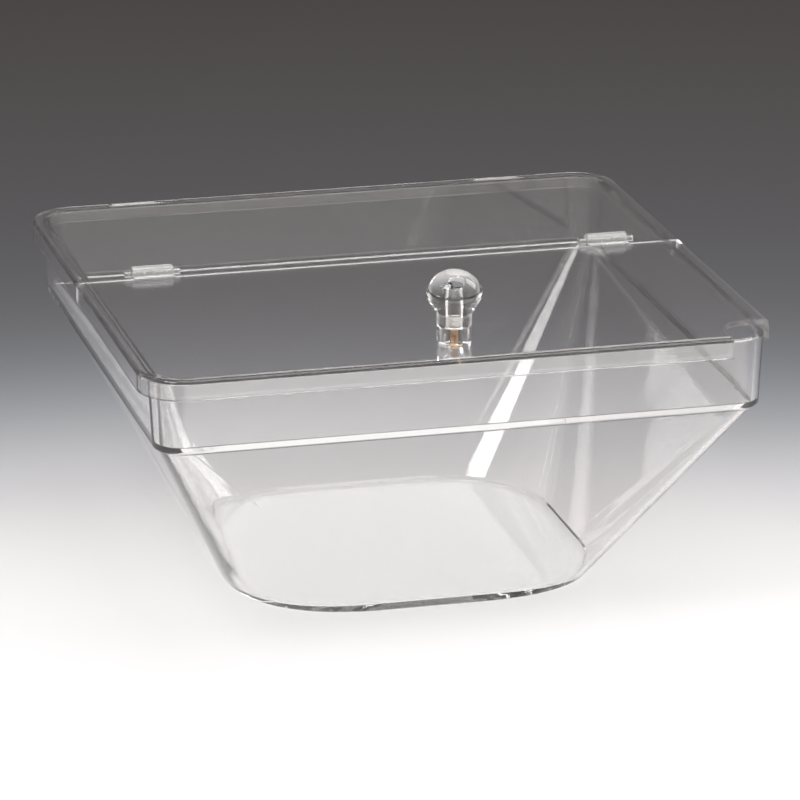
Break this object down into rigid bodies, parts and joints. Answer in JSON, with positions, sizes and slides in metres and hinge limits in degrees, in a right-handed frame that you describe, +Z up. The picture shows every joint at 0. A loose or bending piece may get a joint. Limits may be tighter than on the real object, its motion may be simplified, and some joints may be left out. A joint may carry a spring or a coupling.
{
  "type": "lidded display bowl",
  "caption": "Clear square tapered bowl with a ledge below its rim, under a flat lid whose front part is a hinged flap with a ball knob and a corner notch for a utensil.",
  "frame": {"origin": "centre of the bowl's base, on the table that it stands on", "axes": "+Z up, +X to the right when the knob is in front, +Y to the back, away from the knob"},
  "size_m": [0.305, 0.305, 0.1767],
  "materials": {
    "clear_bowl": "clear polished acrylic",
    "clear_lid": "clear polished acrylic",
    "clear_hinge": "clear polished acrylic with bright cemented edges",
    "clear_knob": "clear polished acrylic, solid",
    "bush_nickel": "bright nickel-plated",
    "screw_brass": "brass screw"
  },
  "bodies": {
    "bowl_body": {"bowl": "clear_bowl"},
    "cover_body": {"rear_cover": "clear_lid", "hinge_pin_left": "clear_hinge", "hinge_pin_right": "clear_hinge"},
    "flap_body": {"front_flap": "clear_lid", "hinge_clip_left": "clear_hinge", "hinge_clip_right": "clear_hinge", "knob": "clear_knob", "knob_insert": "bush_nickel", "knob_screw": "screw_brass"}
  },
  "joints": [
    {"name": "lid_lift", "type": "slide", "parent": "bowl_body", "child": "cover_body", "axis": [0, 0, 1], "range_m": [0, 0.04]},
    {"name": "flap_hinge", "type": "hinge", "parent": "cover_body", "child": "flap_body", "pos_m": [0, 0.0187, 0.1438], "axis": [-1, 0, 0], "range_deg": [0, 165]}
  ]
}
